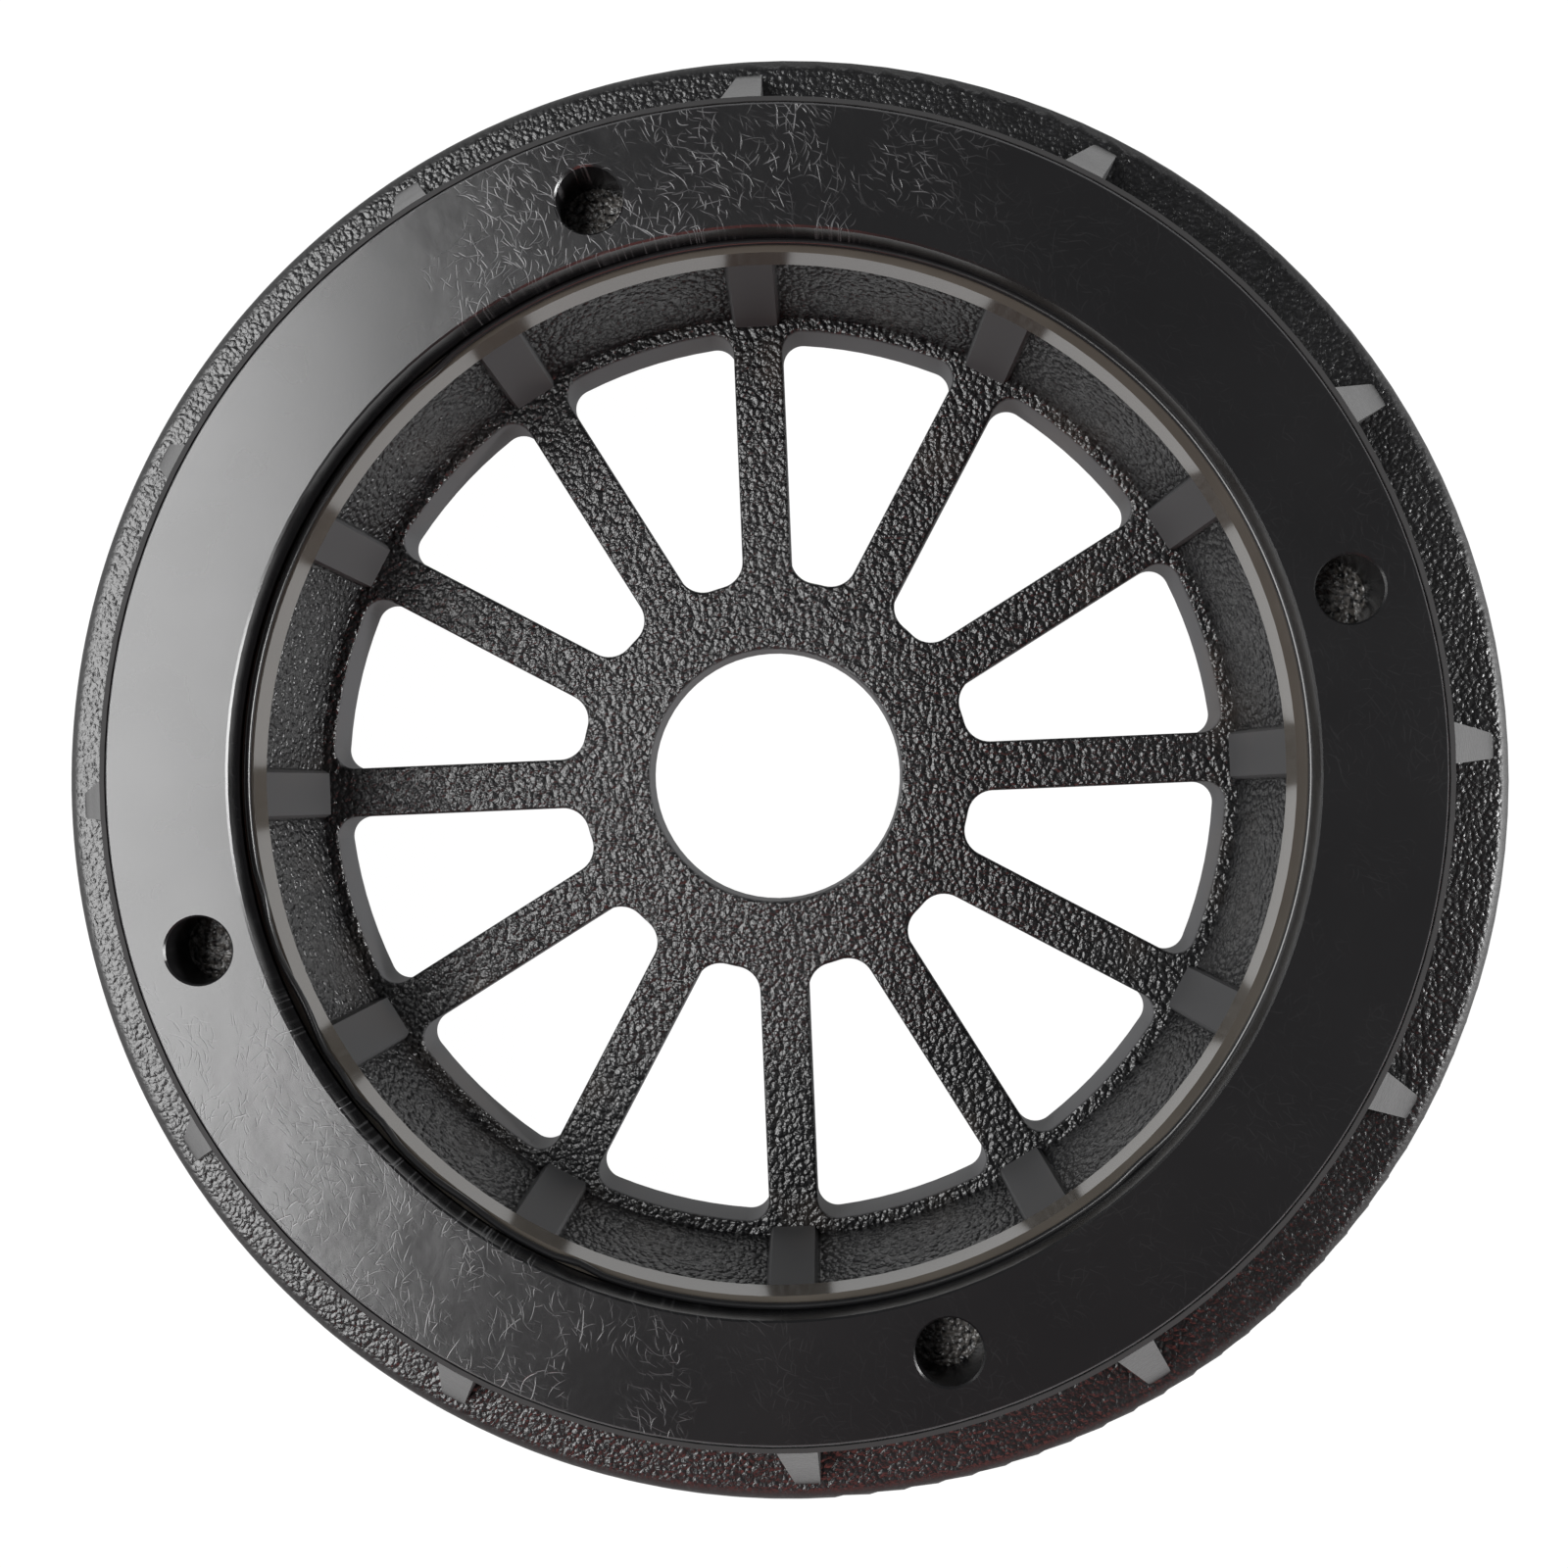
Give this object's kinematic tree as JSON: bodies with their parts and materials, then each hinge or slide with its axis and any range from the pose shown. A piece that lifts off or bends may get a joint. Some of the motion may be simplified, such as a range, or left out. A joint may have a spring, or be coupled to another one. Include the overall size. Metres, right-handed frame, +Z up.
{
  "type": "pottery wheel",
  "caption": "Hand-turned pottery wheel: spoked black wheel head with a smooth work ring and bat-pin holes, on a large ring bearing with a footed base.",
  "frame": {"origin": "on the spin axis, level with the bench under the feet", "axes": "+Z up along the spin axis, out of the working face; +X towards one foot and along one spoke"},
  "size_m": [0.364, 0.364, 0.08],
  "materials": {
    "moulded_rim": "moulded grain",
    "moulded_spider": "moulded grain",
    "satin_face": "satin",
    "gloss_liner": "gloss",
    "cord_rubber": "satin",
    "screw_steel": "black oxide",
    "race_steel": "ground",
    "seal_rubber": "matte",
    "cage_nylon": "moulded",
    "ball_steel": "polished",
    "base_moulding": "moulded",
    "foot_rubber": "matte"
  },
  "bodies": {
    "base": {"base_ring": "base_moulding", "inner_seal": "seal_rubber", "outer_seal": "seal_rubber", "lower_race": "race_steel", "lower_race_screws": "screw_steel", "foot_1": "foot_rubber", "foot_2": "foot_rubber", "foot_3": "foot_rubber", "foot_4": "foot_rubber", "foot_5": "foot_rubber", "foot_6": "foot_rubber", "foot_screws": "screw_steel"},
    "cage": {"ball_cage": "cage_nylon", "balls": "ball_steel"},
    "wheel": {"wheel_rim": "moulded_rim", "recess_liner": "gloss_liner", "spider": "moulded_spider", "face_ring": "satin_face", "recess_cord": "cord_rubber", "face_ring_screws": "screw_steel", "spider_screws": "screw_steel", "upper_race": "race_steel", "upper_race_screws": "screw_steel"}
  },
  "joints": [
    {"name": "wheel_spin", "type": "hinge", "parent": "base", "child": "wheel", "pos_m": [0, 0, 0.02233], "axis": [0, 0, 1], "continuous": true},
    {"name": "cage_spin", "type": "hinge", "parent": "base", "child": "cage", "pos_m": [0, 0, 0.02233], "axis": [0, 0, 1], "continuous": true}
  ],
  "couplings": [
    {"joint": "cage_spin", "follows": "wheel_spin", "ratio": 0.5}
  ]
}
